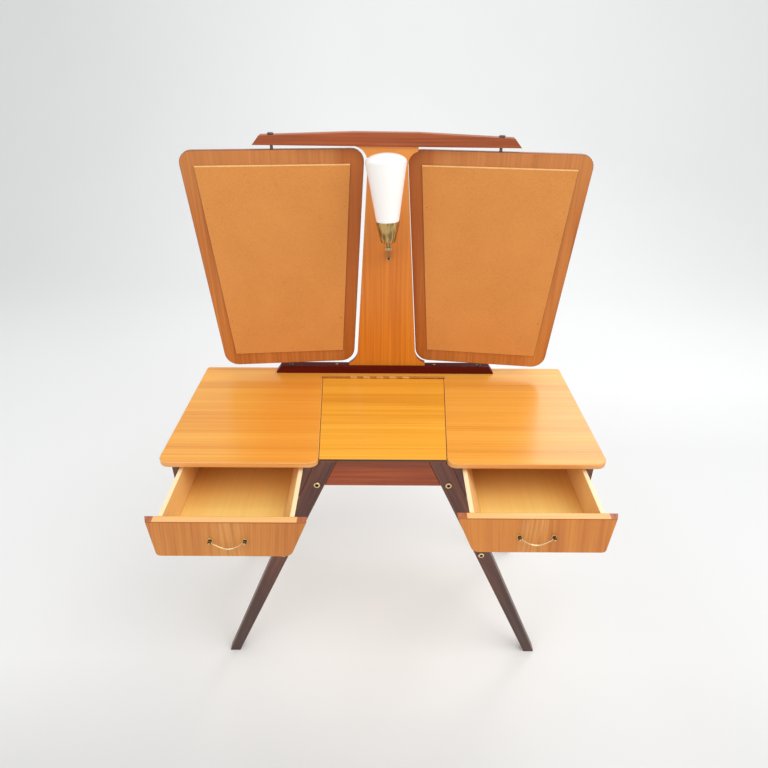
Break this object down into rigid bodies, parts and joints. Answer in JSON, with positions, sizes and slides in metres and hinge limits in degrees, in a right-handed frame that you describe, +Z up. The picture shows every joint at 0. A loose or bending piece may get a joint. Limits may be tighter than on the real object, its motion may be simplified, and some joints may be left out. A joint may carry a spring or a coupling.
{
  "type": "vanity table with mirrors",
  "caption": "Vanity table on splayed legs with slanted drawers, a lidded well, and swivelling mirrors on a rear frame around a tilting glass lamp.",
  "frame": {"origin": "centre of the bounding box's footprint, on the floor", "axes": "+Z up; -Y towards the person sitting at the table; +X to that person's right"},
  "size_m": [0.999, 0.5977, 1.3195],
  "materials": {
    "teak": "satin oiled veneer",
    "teak_dark": "satin stained veneer",
    "mahogany": "satin dark stained",
    "birch": "matte clear",
    "hardboard": "matte pressed board",
    "brass": "polished, lightly tarnished",
    "dark_brass": "dark patina",
    "steel": "worn",
    "mirror": "silvered glass",
    "opal_glass": "satin opal"
  },
  "bodies": {
    "frame": {"tabletop": "teak", "hinge_fixed_leaf": "brass", "front_apron": "mahogany", "rear_apron": "mahogany", "well_bottom": "birch", "lower_rail": "mahogany", "top_rail": "mahogany", "centre_board": "teak", "lamp_bracket": "dark_brass", "front_leg_left": "mahogany", "rear_leg_left": "mahogany", "upper_side_rail_left": "mahogany", "lower_stretcher_left": "mahogany", "upper_bolt_left": "brass", "lower_bolt_left": "brass", "case_inner_side_left": "mahogany", "case_outer_side_left": "mahogany", "case_bottom_left": "birch", "case_back_left": "birch", "front_leg_right": "mahogany", "rear_leg_right": "mahogany", "upper_side_rail_right": "mahogany", "lower_stretcher_right": "mahogany", "upper_bolt_right": "brass", "lower_bolt_right": "brass", "case_inner_side_right": "mahogany", "case_outer_side_right": "mahogany", "case_bottom_right": "birch", "case_back_right": "birch"},
    "lid": {"lid": "teak", "hinge_moving_leaf": "brass"},
    "drawer_left": {"drawer_front_left": "teak", "drawer_inner_side_left": "birch", "drawer_outer_side_left": "birch", "drawer_bottom_left": "birch", "drawer_back_left": "birch", "handle_post_left_inner": "dark_brass", "handle_post_left_outer": "dark_brass"},
    "bail_left": {"bail_left": "brass"},
    "mirror_left": {"mirror_board_left": "teak_dark", "mirror_glass_left": "mirror", "mirror_backing_left": "hardboard", "upper_pivot_left": "steel", "lower_pivot_left": "steel"},
    "drawer_right": {"drawer_front_right": "teak", "drawer_inner_side_right": "birch", "drawer_outer_side_right": "birch", "drawer_bottom_right": "birch", "drawer_back_right": "birch", "handle_post_right_inner": "dark_brass", "handle_post_right_outer": "dark_brass"},
    "bail_right": {"bail_right": "brass"},
    "mirror_right": {"mirror_board_right": "teak_dark", "mirror_glass_right": "mirror", "mirror_backing_right": "hardboard", "upper_pivot_right": "steel", "lower_pivot_right": "steel"},
    "lamp_head": {"lamp_cup": "brass", "lamp_bulb": "opal_glass", "lamp_shade": "opal_glass"}
  },
  "joints": [
    {"name": "lid_hinge", "type": "hinge", "parent": "frame", "child": "lid", "pos_m": [0, 0.2314, 0.7028], "axis": [-1, 0, 0], "range_deg": [0, 75]},
    {"name": "left_drawer_slide", "type": "slide", "parent": "frame", "child": "drawer_left", "axis": [0, -1, 0], "range_m": [-0.1543, 0.0957]},
    {"name": "left_bail_swing", "type": "hinge", "parent": "drawer_left", "child": "bail_left", "pos_m": [-0.3168, -0.2951, 0.6265], "axis": [-1, 0, 0], "range_deg": [0, 85]},
    {"name": "left_mirror_swivel", "type": "hinge", "parent": "frame", "child": "mirror_left", "pos_m": [-0.2541, 0.2658, 1], "axis": [0, 0, 1], "continuous": true},
    {"name": "right_drawer_slide", "type": "slide", "parent": "frame", "child": "drawer_right", "axis": [0, -1, 0], "range_m": [-0.14, 0.11]},
    {"name": "right_bail_swing", "type": "hinge", "parent": "drawer_right", "child": "bail_right", "pos_m": [0.3195, -0.2808, 0.6265], "axis": [-1, 0, 0], "range_deg": [0, 85]},
    {"name": "right_mirror_swivel", "type": "hinge", "parent": "frame", "child": "mirror_right", "pos_m": [0.2621, 0.2658, 1], "axis": [0, 0, 1], "continuous": true},
    {"name": "lamp_tilt", "type": "hinge", "parent": "frame", "child": "lamp_head", "pos_m": [0.0104, 0.197, 1.0751], "axis": [0.9994, 0, 0.0349], "range_deg": [-0.5, 25]}
  ]
}
